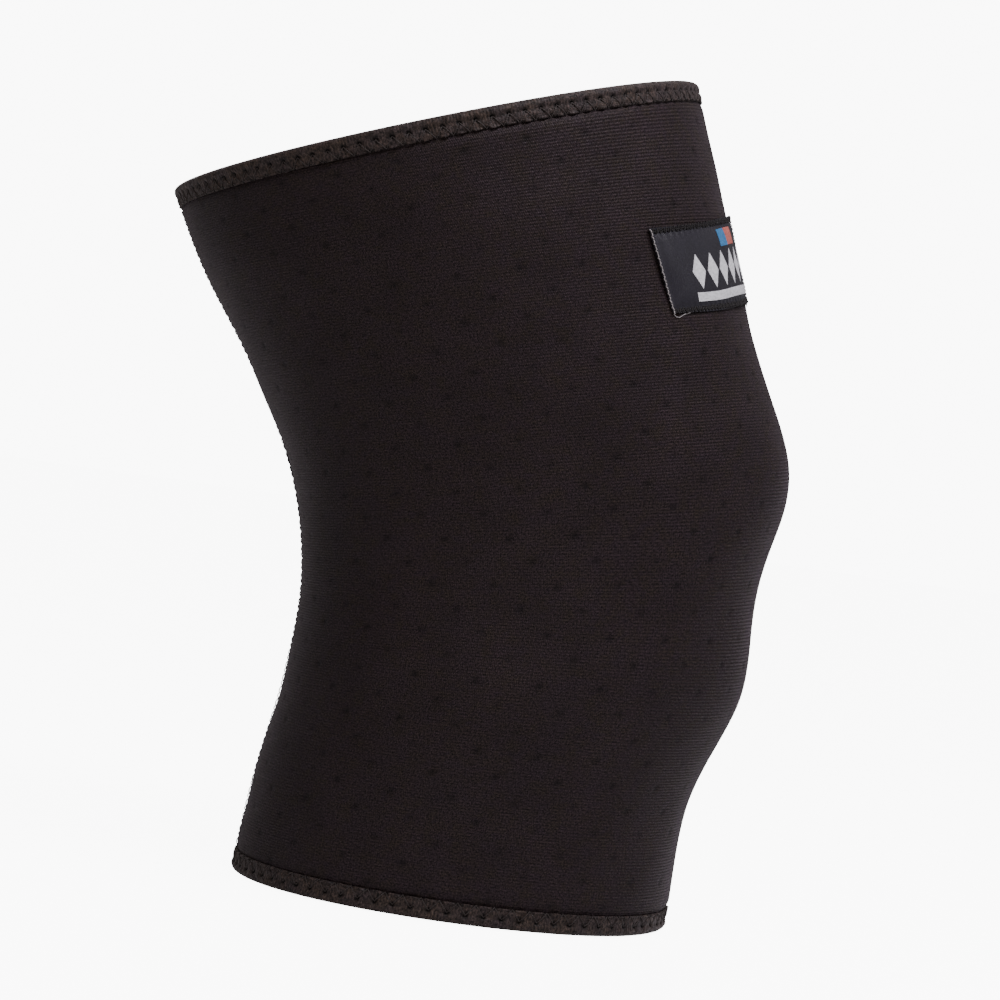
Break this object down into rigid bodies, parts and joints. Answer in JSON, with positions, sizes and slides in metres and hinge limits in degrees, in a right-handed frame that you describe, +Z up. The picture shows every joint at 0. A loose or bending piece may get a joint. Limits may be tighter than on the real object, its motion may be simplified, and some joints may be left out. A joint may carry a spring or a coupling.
{
  "type": "knee sleeve",
  "caption": "Pull-on knee brace of black perforated neoprene: a bent tube with bound and zigzag-stitched hems and a woven label on the thigh, bending at the knee.",
  "frame": {"origin": "on the ground under the middle of the sleeve's box, the sleeve standing on its calf hem", "axes": "+Z up from the calf hem to the thigh, +X to the front where the kneecap is, +Y to one side of the knee; the thigh leans back towards -X"},
  "size_m": [0.194, 0.1532, 0.2512],
  "materials": {
    "face_jersey": "matt black nylon knit",
    "neoprene": "black foam, perforated",
    "lining_jersey": "matt black nylon knit",
    "binding_tape": "ribbed black tape, slight sheen",
    "sewing_thread": "black polyester thread",
    "seam_tape": "smooth black stretch tape",
    "label_satin": "woven satin, dark blue-grey"
  },
  "bodies": {
    "calf_part": {"calf_face_jersey": "face_jersey", "calf_neoprene_core": "neoprene", "calf_lining_jersey": "lining_jersey", "calf_binding": "binding_tape", "calf_binding_needle_thread": "sewing_thread", "calf_binding_bobbin_thread": "sewing_thread", "calf_back_seam_thread": "sewing_thread", "calf_back_seam_tape": "seam_tape", "knee_face_jersey": "face_jersey", "knee_neoprene_core": "neoprene", "knee_lining_jersey": "lining_jersey", "knee_back_seam_thread": "sewing_thread", "knee_back_seam_tape": "seam_tape"},
    "thigh_part": {"thigh_face_jersey": "face_jersey", "thigh_neoprene_core": "neoprene", "thigh_lining_jersey": "lining_jersey", "thigh_binding": "binding_tape", "thigh_binding_needle_thread": "sewing_thread", "thigh_binding_bobbin_thread": "sewing_thread", "thigh_back_seam_thread": "sewing_thread", "thigh_back_seam_tape": "seam_tape", "front_label": "label_satin", "label_needle_thread": "sewing_thread", "label_bobbin_thread": "sewing_thread"}
  },
  "joints": [
    {"name": "knee_bend", "type": "hinge", "parent": "calf_part", "child": "thigh_part", "pos_m": [0.0138, 0, 0.112], "axis": [0, -1, 0], "range_deg": [-29, 71], "stiffness_Nm_per_rad": 1.5, "deforming": ["knee_face_jersey", "knee_neoprene_core", "knee_lining_jersey", "knee_back_seam_thread", "knee_back_seam_tape"]}
  ]
}
